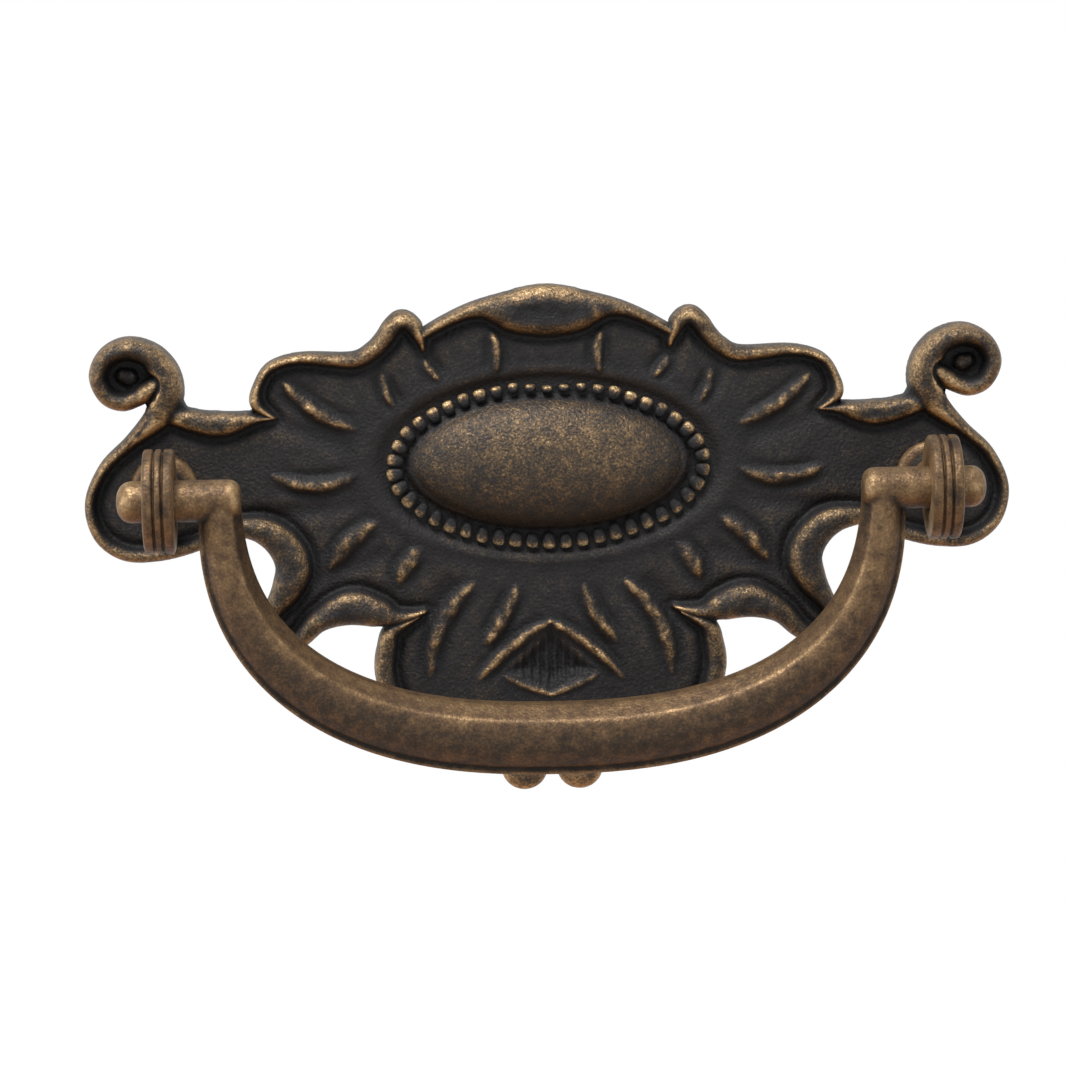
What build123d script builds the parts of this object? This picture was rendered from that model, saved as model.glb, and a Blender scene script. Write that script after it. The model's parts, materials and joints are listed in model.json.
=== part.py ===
from build123d import *
from math import atan2, ceil, cos, degrees, hypot, pi, radians, sin
import os

# A drop pull for a drawer, in the Victorian cast style: an ornate backplate, two eye posts
# screwed on from inside the drawer, and a bail that swings in the eyes on its own two pins.
# X runs along the plate, +Y goes back into the drawer front and +Z is up. The origin lies on
# the drawer's face, midway between the posts. A height is a distance out from that face.

# The mounting and the overall sizes
POST_SPACING = 76.2
PLATE_HEIGHT = 50.8

# The ornament is drawn on squares, counted between the posts and from crest to foot
COLUMNS_BETWEEN_POSTS = 76
ROWS_IN_HEIGHT = 50.8
GRID_X = POST_SPACING / COLUMNS_BETWEEN_POSTS
GRID_Z = PLATE_HEIGHT / ROWS_IN_HEIGHT

# A curved moulding is cast in short straight runs that turn by no more than this, in degrees
FACET_TURN = 20

# Heights of the casting
FIELD_HEIGHT = 2.0
ROLL_SHOULDER = 1.75
BACK_SPARE = 1.5
RIM_CREST = 3.2
SCROLL_CREST = 3.7
VOLUTE_CREST = 4.1
SPIKE_CREST = 2.5
SWAG_CREST = 3.4

# The medallion: a long dome in a ring of beads
MEDALLION_ROW = 1.75
DOME_HALF_LENGTH = 13.5
DOME_HALF_WIDTH = 6.25
DOME_CREST = 5.2
CHANNEL_DEPTH = 0.5
CHANNEL_WIDTH = 3.8
DOME_SIDES = 26
DOME_LEVELS = (0, 30, 56, 78)
BEAD_COUNT = 46
BEAD_LENGTH = 1.8
BEAD_WIDTH = 1.3
BEAD_CREST = 2.35
BEAD_SLOPE = 0.25

# Small relief
RIB_WIDTH = 1.3
RIB_RISE = 0.55
RIB_ROOT = 0.1
RIB_POINT = 0.2
RIB_STATIONS = 5
HATCH_PITCH = 1.0
HATCH_WIDTH = 0.45
HATCH_RISE = 0.3
SHOULDER_KNOB = (14.4, 16.35)
SHOULDER_KNOB_RADIUS = 1.05
SHOULDER_KNOB_CREST = 3.7
VOLUTE_EYE = (41.5, 11.4)
VOLUTE_EYE_RADIUS = 0.95
VOLUTE_EYE_CREST = 2.7
STUD_SIDES = 8
STUD_TOP = 0.55
FOOT_BALL = (2.75, -28.9)
FOOT_BALL_RADIUS = 2.3
FOOT_BALL_CREST = 3.2
FOOT_BALL_SLOPE = 1.2

# The eye posts
RING_RADIUS = 5.1
RING_WIDTH = 3.0
RING_AXIS_HEIGHT = 12.0
RING_RIDGES = 3
GROOVE_DEPTH = 0.35
GROOVE_WIDTH = 0.5
NECK_RADIUS = 1.8
NECK_IN_RING = 1.5
COLLAR_RADIUS = 3.35
COLLAR_THICKNESS = 1.1
SHANK_RADIUS = 2.6
SHANK_CLEARANCE = 0.1
SHANK_SETBACK = 0.2
THREAD_BORE_RADIUS = 1.725
THREAD_DEPTH = 5.0

# The bail
PIN_RADIUS = 2.05
PIN_CLEARANCE = 0.25
PIN_OVERHANG = 2.7
PIN_END_BEVEL = 0.7
SIDE_PLAY = 2.2
LEG_WIDTH = 4.2
GRIP_WIDTH = 7.1
GRIP_DEPTH = 4.7
BAIL_DROP = 24.1
BAIL_CURVE_EXPONENT = 2.45
BAIL_STATIONS = 23
TRACK_STEP = 0.001
CORNER_BEVEL = 1.1

# The grip's section, in shares of its half width and half depth. It starts at the outer back
# edge and runs up the outer side, over the lip and its groove, across the crowned front and
# down the bevelled inner side.
GRIP_SECTION = [
    (0.88, -1.0),
    (1.0, 0.35),
    (0.88, 0.2),
    (0.76, 0.55),
    (0.2, 1.0),
    (-0.62, 0.72),
    (-1.0, -0.1),
    (-0.8, -1.0),
]

post_x = POST_SPACING / 2
CHANNEL_FLOOR = FIELD_HEIGHT - CHANNEL_DEPTH
bail_half_span = post_x - RING_WIDTH / 2 - SIDE_PLAY - LEG_WIDTH / 2


def at(column, row):
    """A point of the drawing, in millimetres along X and Z."""
    return (column * GRID_X, row * GRID_Z)


def raised(shape, low, high):
    """A flat shape of the drawing made solid between two heights."""
    return extrude(Plane.XZ.offset(low) * shape, high - low)


def both_sides(shape):
    """A piece of ornament and its mirror image across the middle of the plate."""
    return [shape, mirror(shape, about=Plane.YZ)]


def dome(spot, half_length, half_width, floor, crest):
    """Half an ellipsoid, cut in flats between the levels of its latitude."""
    x, z = at(*spot)
    bands = []
    for level in DOME_LEVELS:
        share = cos(radians(level))
        corners = []
        for number in range(DOME_SIDES):
            angle = 2 * pi * number / DOME_SIDES
            corners.append((x + half_length * share * cos(angle), z + half_width * share * sin(angle)))
        height = floor + (crest - floor) * sin(radians(level))
        bands.append(Plane.XZ.offset(height) * make_face(Polyline(*corners, close=True)))
    return loft(bands, ruled=True)


def stud(spot, radius, crest):
    """A small boss with sloping sides, rooted a little under the field."""
    x, z = at(*spot)
    foot = Plane.XZ.offset(ROLL_SHOULDER) * RegularPolygon(radius, STUD_SIDES)
    top = Plane.XZ.offset(crest) * RegularPolygon(radius * STUD_TOP, STUD_SIDES)
    return Pos(x, 0, z) * loft([foot, top])


def foot_ball():
    """A round lobe at the foot of the plate, flat behind and sloping off in front."""
    x, z = at(*FOOT_BALL)
    button = raised(Circle(FOOT_BALL_RADIUS), 0, FOOT_BALL_CREST)
    button = chamfer(button.edges().group_by(Axis.Y)[0], FOOT_BALL_SLOPE)
    return Pos(x, 0, z) * button


# Each moulding of the rim is a list of (column, row, half width, crest height), walked round
# the right half of the plate from the middle of the crest down to the foot.
CREST = [
    (0, 17.0, 2.6, SCROLL_CREST),
    (3.0, 16.95, 2.2, SCROLL_CREST),
    (4.6, 17.25, 1.7, SCROLL_CREST),
    (6.2, 17.5, 1.15, RIM_CREST),
    (8.0, 17.1, 0.75, RIM_CREST),
    (10.1, 16.1, 0.6, RIM_CREST),
    (12.2, 14.9, 0.55, RIM_CREST),
]
KNOB = [
    (12.2, 13.3, 0.2, SPIKE_CREST),
    (12.6, 14.6, 0.7, RIM_CREST),
    (13.3, 15.6, 0.9, SCROLL_CREST),
    (14.4, 16.35, 0.9, SCROLL_CREST),
]
SHOULDER = [
    (14.4, 16.35, 0.9, SCROLL_CREST),
    (15.4, 15.2, 0.8, SCROLL_CREST),
    (16.8, 13.5, 0.85, RIM_CREST),
    (19.3, 12.4, 0.8, RIM_CREST),
    (24.3, 12.7, 0.55, RIM_CREST),
    (27.3, 11.9, 0.5, RIM_CREST),
    (28.6, 10.1, 0.5, RIM_CREST),
    (28.8, 8.2, 0.65, RIM_CREST),
    (27.0, 6.75, 0.2, SPIKE_CREST),
]
SWAG = [
    (27.2, 6.8, 0.15, SPIKE_CREST),
    (29.3, 6.8, 0.65, RIM_CREST),
    (30.8, 6.45, 1.0, SWAG_CREST),
    (32.4, 6.3, 1.25, SWAG_CREST),
    (34.0, 6.5, 1.2, SWAG_CREST),
    (36.0, 6.9, 0.95, RIM_CREST),
]
VOLUTE = [
    (36.9, 6.2, 1.5, SPIKE_CREST),
    (37.4, 7.6, 2.05, RIM_CREST),
    (37.7, 9.3, 1.95, VOLUTE_CREST),
    (37.9, 11.4, 1.55, VOLUTE_CREST),
    (39.1, 13.3, 1.15, VOLUTE_CREST),
    (41.4, 14.15, 0.95, VOLUTE_CREST),
    (43.6, 13.3, 0.85, VOLUTE_CREST),
    (44.5, 11.3, 0.8, VOLUTE_CREST),
    (43.7, 9.4, 0.8, SCROLL_CREST),
    (42.1, 8.75, 0.8, SCROLL_CREST),
    (40.6, 9.3, 0.65, RIM_CREST),
    (39.9, 10.2, 0.4, RIM_CREST),
]
LOBE = [
    (38.9, 9.0, 0.4, SPIKE_CREST),
    (39.5, 7.0, 0.65, RIM_CREST),
    (41.5, 4.6, 0.6, RIM_CREST),
    (44.05, 2.1, 0.55, RIM_CREST),
    (45.5, -1.3, 0.55, RIM_CREST),
    (44.7, -4.6, 0.65, RIM_CREST),
    (42.2, -6.45, 0.75, RIM_CREST),
    (38.8, -6.55, 0.75, RIM_CREST),
    (35.4, -5.75, 0.75, RIM_CREST),
    (32.6, -4.6, 0.7, RIM_CREST),
]
C_SCROLL = [
    (31.6, -3.9, 0.9, RIM_CREST),
    (28.6, -4.3, 1.45, SCROLL_CREST),
    (26.5, -5.8, 1.75, SCROLL_CREST),
    (25.5, -8.0, 1.85, SCROLL_CREST),
    (26.2, -10.3, 1.55, SCROLL_CREST),
    (27.6, -12.4, 0.95, RIM_CREST),
    (28.9, -14.4, 0.7, RIM_CREST),
    (29.4, -16.4, 0.4, RIM_CREST),
]
ARCH = [
    (29.3, -16.5, 0.4, RIM_CREST),
    (27.2, -16.6, 0.7, RIM_CREST),
    (25.0, -15.4, 0.95, RIM_CREST),
    (23.0, -13.5, 1.25, SCROLL_CREST),
    (20.0, -12.3, 1.85, SCROLL_CREST),
    (17.3, -12.8, 1.6, SCROLL_CREST),
    (15.2, -13.4, 0.9, RIM_CREST),
    (12.4, -12.85, 0.2, SPIKE_CREST),
]
FOOT = [
    (13.1, -13.4, 0.2, SPIKE_CREST),
    (15.8, -14.8, 0.8, RIM_CREST),
    (16.4, -16.6, 1.0, RIM_CREST),
    (16.6, -19.0, 1.05, RIM_CREST),
    (15.7, -21.9, 1.0, RIM_CREST),
    (13.2, -24.3, 0.9, RIM_CREST),
    (9.4, -26.0, 0.85, RIM_CREST),
    (5.2, -27.2, 0.85, RIM_CREST),
    (0, -27.4, 0.85, RIM_CREST),
]
SIDE_MOULDINGS = [KNOB, SHOULDER, SWAG, VOLUTE, LOBE, C_SCROLL, ARCH]
MIDDLE_MOULDINGS = [CREST[::-1], FOOT]

# The slab under the mouldings follows their middles, without the spikes that point inward
TOP_RUNS = [CREST, KNOB[2:], SHOULDER[1:-1], SWAG[1:], VOLUTE[2:]]
BOTTOM_RUNS = [LOBE[1:], C_SCROLL, ARCH[1:-1], FOOT[1:]]

# The leaf ribs: start, end and bulge to the left of the way from start to end
RIBS = [
    ((26.0, 10.2), (19.2, 5.6), 0.6),
    ((27.3, 1.0), (19.2, 1.0), 1.0),
    ((17.2, -3.9), (21.8, -8.2), 0.5),
    ((12.9, -6.6), (15.1, -10.0), 0.3),
    ((7.6, -10.2), (12.1, -19.4), 1.2),
    ((3.4, -10.6), (6.6, -16.2), -0.4),
    ((15.0, 7.6), (16.3, 11.0), -0.3),
    ((10.6, 10.4), (12.0, 12.4), -0.2),
    ((5.2, 11.0), (5.4, 14.9), 0.3),
]

# The kite at the foot: its tip, its side corners, its bottom and the ends of its brows
KITE_TIP = (0, -14.1)
KITE_SIDE = (5.0, -19.2)
KITE_BOTTOM = (0, -22.0)
KITE_BROW_END = (7.2, -19.8)
KITE_BROW_BULGE = 0.8


def swept(stations, outline):
    """A bar through the stations; outline gives a section from its half width and crest."""
    path = Spline(*[at(column, row) for column, row, _, _ in stations])
    places = [path.param_at_point(at(column, row)) for column, row, _, _ in stations]
    marks = []
    for number in range(len(stations) - 1):
        turn = path.tangent_at(places[number]).get_angle(path.tangent_at(places[number + 1]))
        runs = max(1, ceil(turn / FACET_TURN))
        marks += [(number, run / runs) for run in range(runs)]
    marks.append((len(stations) - 2, 1))
    sections = []
    for number, share in marks:
        place = places[number] + (places[number + 1] - places[number]) * share
        spot, along = path.position_at(place), path.tangent_at(place)
        plane = Plane(
            origin=(spot.X, 0, spot.Y),
            x_dir=(-along.Y, 0, along.X),
            z_dir=(along.X, 0, along.Y),
        )
        (_, _, width_0, crest_0), (_, _, width_1, crest_1) = stations[number], stations[number + 1]
        half_width = width_0 + (width_1 - width_0) * share
        crest = crest_0 + (crest_1 - crest_0) * share
        sections.append(plane * make_face(Polyline(*outline(half_width, crest), close=True)))
    return loft(sections, ruled=True)


def roll_outline(half_width, crest):
    """Upright sides and two slopes that meet along the crest."""
    right = [(half_width, -BACK_SPARE), (half_width, ROLL_SHOULDER)]
    left = [(-half_width, ROLL_SHOULDER), (-half_width, -BACK_SPARE)]
    return right + [(0, crest)] + left


def moulding(stations):
    """A raised roll of the rim, reaching a little behind the back plane, which trims it later."""
    return swept(stations, roll_outline)


def rib_outline(half_width, crest):
    """A ridge with two sloping sides, rooted just under the field."""
    root = FIELD_HEIGHT - RIB_ROOT
    return [(half_width, root), (0, crest), (-half_width, root)]


def slab():
    """The flat body of the plate, out to the middles of the mouldings round it."""
    edges = []
    last = None
    for run in TOP_RUNS + BOTTOM_RUNS:
        points = [at(column, row) for column, row, _, _ in run]
        if last is not None:
            edges.append(Line(last, points[0]))
        edges.append(Spline(*points))
        last = points[-1]
    half = Curve() + edges
    return raised(make_face(half + mirror(half, about=Plane.YZ)), 0, FIELD_HEIGHT)


def rib(start, end, bulge):
    """A slim vein of the leaves, swelling from a point at each end to its full width."""
    (c0, r0), (c1, r1) = start, end
    length = hypot(c1 - c0, r1 - r0)
    stations = []
    for number in range(RIB_STATIONS):
        share = number / (RIB_STATIONS - 1)
        swell = RIB_POINT + (1 - RIB_POINT) * sin(pi * share)
        aside = 4 * bulge * share * (1 - share) / length
        column = c0 + (c1 - c0) * share - (r1 - r0) * aside
        row = r0 + (r1 - r0) * share + (c1 - c0) * aside
        stations.append((column, row, swell * RIB_WIDTH / 2, FIELD_HEIGHT + swell * RIB_RISE))
    return swept(stations, rib_outline)


def across(stations):
    """The stations of a moulding that ends on the middle of the plate, carried on past it."""
    return stations + [(-column, *rest) for column, *rest in stations[-2::-1]]


def bead_ring():
    """Long beads with sloping sides, evenly spaced round the medallion and aimed at its middle."""
    x, z = at(0, MEDALLION_ROW)
    gap = CHANNEL_WIDTH / 2
    track = Edge.make_ellipse(DOME_HALF_LENGTH + gap, DOME_HALF_WIDTH + gap)
    low = CHANNEL_FLOOR - RIB_ROOT
    end, side = BEAD_LENGTH - BEAD_SLOPE, BEAD_WIDTH - BEAD_SLOPE
    bead = Wedge(BEAD_LENGTH, BEAD_CREST - low, BEAD_WIDTH, BEAD_SLOPE, BEAD_SLOPE, end, side)
    bead = Pos(0, -(low + BEAD_CREST) / 2, 0) * Rot(180, 0, 0) * bead
    beads = []
    for number in range(BEAD_COUNT):
        share = (number + 0.5) / BEAD_COUNT
        spot = track.position_at(share)
        along = track.tangent_at(share)
        turn = degrees(atan2(-along.X, along.Y))
        beads.append(Pos(x + spot.X, 0, z + spot.Y) * Rot(0, -turn, 0) * bead)
    return beads


def kite():
    """The pointed frame at the foot: two brows, two lower sides and the hatching inside."""
    tip, side, bottom = at(*KITE_TIP), at(*KITE_SIDE), at(*KITE_BOTTOM)
    inside = make_face(Polyline(tip, side, bottom, (-side[0], side[1]), close=True))
    low = FIELD_HEIGHT - RIB_ROOT
    bar = Rectangle(HATCH_WIDTH, tip[1] - bottom[1])
    reach = int(side[0] / HATCH_PITCH)
    pieces = []
    for number in range(-reach, reach + 1):
        line = inside & Pos(number * HATCH_PITCH, (tip[1] + bottom[1]) / 2) * bar
        pieces.append(raised(line, low, FIELD_HEIGHT + HATCH_RISE))
    pieces += both_sides(rib(KITE_TIP, KITE_BROW_END, KITE_BROW_BULGE))
    pieces += both_sides(rib(KITE_SIDE, KITE_BOTTOM, 0))
    return pieces


def backplate():
    """The whole ornate casting, flat behind, with a hole for each post."""
    pieces = [moulding(across(stations)) for stations in MIDDLE_MOULDINGS]
    for stations in SIDE_MOULDINGS:
        pieces += both_sides(moulding(stations))
    pieces += both_sides(stud(SHOULDER_KNOB, SHOULDER_KNOB_RADIUS, SHOULDER_KNOB_CREST))
    pieces += both_sides(stud(VOLUTE_EYE, VOLUTE_EYE_RADIUS, VOLUTE_EYE_CREST))
    pieces += both_sides(foot_ball())
    body = slab() + pieces

    medallion = (0, MEDALLION_ROW)
    x, z = at(*medallion)
    channel = Ellipse(DOME_HALF_LENGTH + CHANNEL_WIDTH, DOME_HALF_WIDTH + CHANNEL_WIDTH)
    body -= raised(Pos(x, z) * channel, CHANNEL_FLOOR, SCROLL_CREST)
    boss = dome(medallion, DOME_HALF_LENGTH, DOME_HALF_WIDTH, CHANNEL_FLOOR, DOME_CREST)
    ribs = []
    for start, end, bulge in RIBS:
        ribs += both_sides(rib(start, end, bulge))
    body = body + [boss] + bead_ring() + ribs + kite()

    behind = raised(Rectangle(2 * POST_SPACING, 2 * PLATE_HEIGHT), -2 * BACK_SPARE, 0)
    body -= behind
    hole = raised(Circle(SHANK_RADIUS + SHANK_CLEARANCE), 0, FIELD_HEIGHT)
    body -= [Pos(post_x, 0, 0) * hole, Pos(-post_x, 0, 0) * hole]
    return body


def eye_post():
    """A post with a ridged ring on top, a neck, a collar, and a shank tapped from behind."""
    half = RING_WIDTH / 2
    bore = PIN_RADIUS + PIN_CLEARANCE
    rim = [(-half, bore), (-half, RING_RADIUS)]
    for number in range(1, RING_RIDGES):
        groove = RING_WIDTH * number / RING_RIDGES - half
        rim.append((groove - GROOVE_WIDTH / 2, RING_RADIUS))
        rim.append((groove, RING_RADIUS - GROOVE_DEPTH))
        rim.append((groove + GROOVE_WIDTH / 2, RING_RADIUS))
    rim += [(half, RING_RADIUS), (half, bore)]
    ring = Pos(0, -RING_AXIS_HEIGHT, 0) * revolve(make_face(Polyline(*rim, close=True)), Axis.X)

    top = RING_AXIS_HEIGHT - RING_RADIUS + NECK_IN_RING
    face = FIELD_HEIGHT + COLLAR_THICKNESS
    profile = Polyline(
        (0, -SHANK_SETBACK),
        (SHANK_RADIUS, -SHANK_SETBACK),
        (SHANK_RADIUS, -FIELD_HEIGHT),
        (COLLAR_RADIUS, -FIELD_HEIGHT),
        (COLLAR_RADIUS, -face),
        (NECK_RADIUS, -face),
        (NECK_RADIUS, -top),
        (0, -top),
        close=True,
    )
    post = ring + revolve(make_face(profile), Axis.Y)
    return post - raised(Circle(THREAD_BORE_RADIUS), 0, SHANK_SETBACK + THREAD_DEPTH)


def bail_track(angle):
    """The middle line of the hanging bail, as a squared-off half ellipse."""
    across_x = abs(cos(angle)) ** (2 / BAIL_CURVE_EXPONENT) * bail_half_span
    down = abs(sin(angle)) ** (2 / BAIL_CURVE_EXPONENT) * BAIL_DROP
    return Vector(across_x if cos(angle) > 0 else -across_x, 0, -down if sin(angle) > 0 else down)


def bail_section(half_width, half_depth):
    """The grip's section at the given half sizes."""
    corners = [(half_width * aside, half_depth * out) for aside, out in GRIP_SECTION]
    return make_face(Polyline(*corners, close=True))


def bail():
    """The swinging handle with its two pins, cast in one."""
    sections = []
    for number in range(BAIL_STATIONS):
        angle = pi * number / (BAIL_STATIONS - 1)
        along = (bail_track(angle + TRACK_STEP) - bail_track(angle - TRACK_STEP)).normalized()
        outward = Vector(-along.Z, 0, along.X)
        swell = sin(angle)
        half_width = (LEG_WIDTH + (GRIP_WIDTH - LEG_WIDTH) * swell) / 2
        half_depth = PIN_RADIUS + (GRIP_DEPTH / 2 - PIN_RADIUS) * swell
        plane = Plane(origin=bail_track(angle), x_dir=outward, z_dir=outward.cross(Vector(0, -1, 0)))
        sections.append(plane * bail_section(half_width, half_depth))
    grip = loft(sections, ruled=True)
    inner_end = bail_half_span - LEG_WIDTH / 2
    outer_end = post_x + RING_WIDTH / 2 + PIN_OVERHANG
    pin = extrude(Plane.YZ.offset(inner_end) * Circle(PIN_RADIUS), outer_end - inner_end)
    pin = chamfer(pin.edges().group_by(Axis.X)[-1], PIN_END_BEVEL)
    pin = chamfer(pin.edges().group_by(Axis.X)[0], CORNER_BEVEL)
    handle = grip + both_sides(pin)
    return Pos(0, -RING_AXIS_HEIGHT, 0) * handle


os.makedirs("parts", exist_ok=True)
post = eye_post()
export_step(backplate(), "parts/backplate.step")
export_step(Pos(-post_x, 0, 0) * post, "parts/left_eye_post.step")
export_step(Pos(post_x, 0, 0) * post, "parts/right_eye_post.step")
export_step(bail(), "parts/bail.step")
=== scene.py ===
# %% [markdown]
# # A drop pull in antiqued brass
# A drop pull is the handle of a Victorian drawer: an ornate cast backplate, two eye posts that
# are screwed on from inside the drawer, and a bail that hangs between them and swings on its
# own pins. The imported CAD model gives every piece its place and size. This scene gives the
# pieces the soft, worn relief and the finish of the real thing. Blender counts in metres. What
# is drawn or measured here in millimetres says so in its name or in its cell's title.

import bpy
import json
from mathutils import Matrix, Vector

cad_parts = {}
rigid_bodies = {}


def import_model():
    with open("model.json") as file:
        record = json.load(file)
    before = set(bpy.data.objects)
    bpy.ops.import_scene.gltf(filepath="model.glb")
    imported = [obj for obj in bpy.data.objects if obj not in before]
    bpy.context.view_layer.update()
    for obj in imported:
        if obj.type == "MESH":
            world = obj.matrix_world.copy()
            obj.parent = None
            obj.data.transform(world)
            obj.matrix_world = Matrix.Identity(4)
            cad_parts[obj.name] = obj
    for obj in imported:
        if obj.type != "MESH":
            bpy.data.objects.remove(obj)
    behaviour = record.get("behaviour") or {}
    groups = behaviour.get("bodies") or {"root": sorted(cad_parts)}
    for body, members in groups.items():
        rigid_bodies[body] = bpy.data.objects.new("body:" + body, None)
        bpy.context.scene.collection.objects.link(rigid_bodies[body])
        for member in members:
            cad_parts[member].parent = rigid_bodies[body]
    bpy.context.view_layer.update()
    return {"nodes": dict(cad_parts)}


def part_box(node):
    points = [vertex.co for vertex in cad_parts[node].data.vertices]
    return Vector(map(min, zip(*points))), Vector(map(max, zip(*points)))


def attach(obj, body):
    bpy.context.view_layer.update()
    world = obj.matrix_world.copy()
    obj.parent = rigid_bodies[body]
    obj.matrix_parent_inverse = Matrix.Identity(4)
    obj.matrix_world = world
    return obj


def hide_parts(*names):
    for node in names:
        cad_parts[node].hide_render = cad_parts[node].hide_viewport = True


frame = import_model()

# %% [markdown]
# ## Small tools
# Every new piece ends the same way: its mesh becomes an object at the origin, its faces point
# outwards and are shaded smooth, and it rides on a body of the CAD model. One function does
# that, and another runs modifiers such as Remesh and Decimate and keeps only their result.

# %% Tools for making a piece
import json
import math
import random

import bmesh
import bpy
import numpy as np
from mathutils import Matrix, Vector, kdtree, noise

MM = 0.001


def as_object(name, bm):
    """The object of a bmesh, smooth shaded, with its normals pointing outwards."""
    bmesh.ops.recalc_face_normals(bm, faces=bm.faces)
    mesh = bpy.data.meshes.new(name)
    bm.to_mesh(mesh)
    bm.free()
    mesh.shade_smooth()
    piece = bpy.data.objects.new(name, mesh)
    bpy.context.scene.collection.objects.link(piece)
    return piece


def settle(piece, kind, **settings):
    """Runs one modifier on a piece and keeps its result as the piece's mesh."""
    modifier = piece.modifiers.new(kind.lower(), kind)
    for key, value in settings.items():
        setattr(modifier, key, value)
    graph = bpy.context.evaluated_depsgraph_get()
    mesh = bpy.data.meshes.new_from_object(piece.evaluated_get(graph))
    piece.modifiers.clear()
    piece.data = mesh
    mesh.shade_smooth()


def finish_piece(piece, body, slot, *nodes):
    """Makes a piece ride on its body and stand for its CAD nodes. The slot is not used."""
    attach(piece, body)
    if nodes:
        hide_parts(*nodes)
    faces = sum(len(face.vertices) - 2 for face in piece.data.polygons)
    print(piece.name, "has", faces, "triangles")


# %% [markdown]
# ## Reading where a casting wears
# A cloth rubs what stands proud and never reaches the corners. A mesh knows this about itself:
# when every vertex moves to the average of its neighbours, an edge sinks and a corner fills, so
# the way each vertex moves says how proud it stood. That is worked out once and kept as a
# number on each vertex, which the material reads later. It follows the form on every side,
# where paint or noise alone wouldn't.

# %% Vertices as arrays, in millimetres
def places(piece):
    """The places of a piece's vertices."""
    spots = np.empty(len(piece.data.vertices) * 3)
    piece.data.vertices.foreach_get("co", spots)
    return spots.reshape(-1, 3) / MM


def put(piece, spots):
    """Moves a piece's vertices to these places."""
    piece.data.vertices.foreach_set("co", (spots * MM).ravel())
    piece.data.update()


def store(piece, name, values):
    """Keeps a number on each vertex, which a material reads by its name."""
    layer = piece.data.attributes.new(name, "FLOAT", "POINT")
    layer.data.foreach_set("value", values.astype(np.float32))


# %% Smoothing and wear
# A face whose normal points 50 degrees below level counts in full in the painted warm shade on undersides
UNDERSIDE_SHADE_GAIN = 1.3


def even_out(piece, spots, rounds):
    """Each place moved half way to the average of its neighbours, this many times."""
    edges = np.empty(len(piece.data.edges) * 2, int)
    piece.data.edges.foreach_get("vertices", edges)
    one, two = edges.reshape(-1, 2).T
    count = np.bincount(np.concatenate([one, two]), minlength=len(spots))
    for _ in range(rounds):
        total = np.empty_like(spots)
        for axis in range(3):
            total[:, axis] = np.bincount(one, spots[two, axis], len(spots))
            total[:, axis] += np.bincount(two, spots[one, axis], len(spots))
        spots = 0.5 * spots + 0.5 * total / np.maximum(count, 1)[:, None]
    return spots


def read_wear(piece, pitch_mm, scales, level):
    """How far each vertex stands proud: 0 in a recess, the level on a flat, and 1 on an edge.

    Each scale is how far around to look and how proud counts in full, in millimetres. How much
    each vertex faces down is stored on the way, as the mask of the painted warm shade on undersides.
    """
    spots = places(piece)
    normals = np.empty(len(spots) * 3)
    piece.data.vertex_normals.foreach_get("vector", normals)
    normals = normals.reshape(-1, 3)
    # How much each vertex faces down: the mask of the painted warm shade
    store(piece, "underside_shade", np.clip(-UNDERSIDE_SHADE_GAIN * normals[:, 2], 0, 1))
    wear = np.full(len(spots), level)
    smooth, done = spots, 0
    for radius_mm, full_mm in scales:
        rounds = round((2 * radius_mm / pitch_mm) ** 2)
        smooth, done = even_out(piece, smooth, rounds - done), rounds
        wear += np.clip(((spots - smooth) * normals).sum(1) / full_mm, -1, 1) / 2
    print(piece.name, "wear", np.percentile(wear, [5, 50, 95]).round(2))
    return np.clip(wear, 0, 1)


# %% [markdown]
# ## The lines of the rim
# The backplate's edge is a chain of rolls, each thick in the middle and thin at its ends, like
# leaves of clay laid on a slab. Each roll is drawn as a few stations: how far right and how far
# up it is, half its width, and how high it stands from the drawer. These are nearly the lines
# that the CAD model follows with short straight runs. Here a smooth curve joins them, and runs
# such as the shoulder and its knob are one line, so that they flow into each other.

# %% Stations of the rolls, on the right half of the plate, in millimetres
CREST = [
    (0, 17.0, 2.6, 3.7), (3.0, 17.0, 2.2, 3.7), (4.6, 17.2, 1.6, 3.6), (6.2, 17.3, 1.0, 3.4),
    (8.0, 16.95, 0.7, 3.3), (10.1, 16.05, 0.6, 3.2), (12.2, 14.9, 0.55, 3.2),
]
SHOULDER = [
    (12.2, 13.3, 0.2, 2.5), (12.5, 14.6, 0.65, 3.2), (13.2, 15.8, 0.85, 3.4), (14.3, 16.35, 0.95, 3.5),
    (15.3, 15.6, 0.95, 3.5), (16.1, 14.5, 0.9, 3.4), (17.3, 13.3, 0.85, 3.3), (19.3, 12.4, 0.8, 3.2),
    (24.3, 12.7, 0.55, 3.2), (27.3, 11.9, 0.5, 3.2), (28.6, 10.1, 0.5, 3.2), (28.8, 8.2, 0.65, 3.2),
    (27.0, 6.75, 0.2, 2.5),
]
SWAG = [
    (27.2, 6.8, 0.15, 2.5), (29.3, 6.8, 0.65, 3.2), (30.8, 6.45, 1.0, 3.4), (32.4, 6.25, 1.25, 3.4),
    (34.0, 6.4, 1.2, 3.4), (35.6, 6.8, 1.1, 3.3), (37.0, 7.3, 1.0, 3.2),
]
VOLUTE = [
    (42.3, 3.7, 0.5, 3.0), (41.1, 4.8, 0.65, 3.2), (39.55, 6.1, 0.95, 3.4), (38.45, 7.5, 1.5, 3.7),
    (37.85, 9.3, 1.9, 4.0), (37.9, 11.4, 1.6, 4.1), (39.1, 13.25, 1.2, 4.1), (41.4, 14.0, 1.1, 4.1),
    (43.5, 13.2, 0.95, 4.1), (44.4, 11.3, 0.9, 4.1), (43.6, 9.35, 0.9, 3.7), (42.1, 8.7, 0.95, 3.6),
    (40.8, 9.05, 0.95, 3.5), (39.6, 9.7, 1.0, 3.5), (38.7, 10.4, 0.9, 3.5),
]
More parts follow.
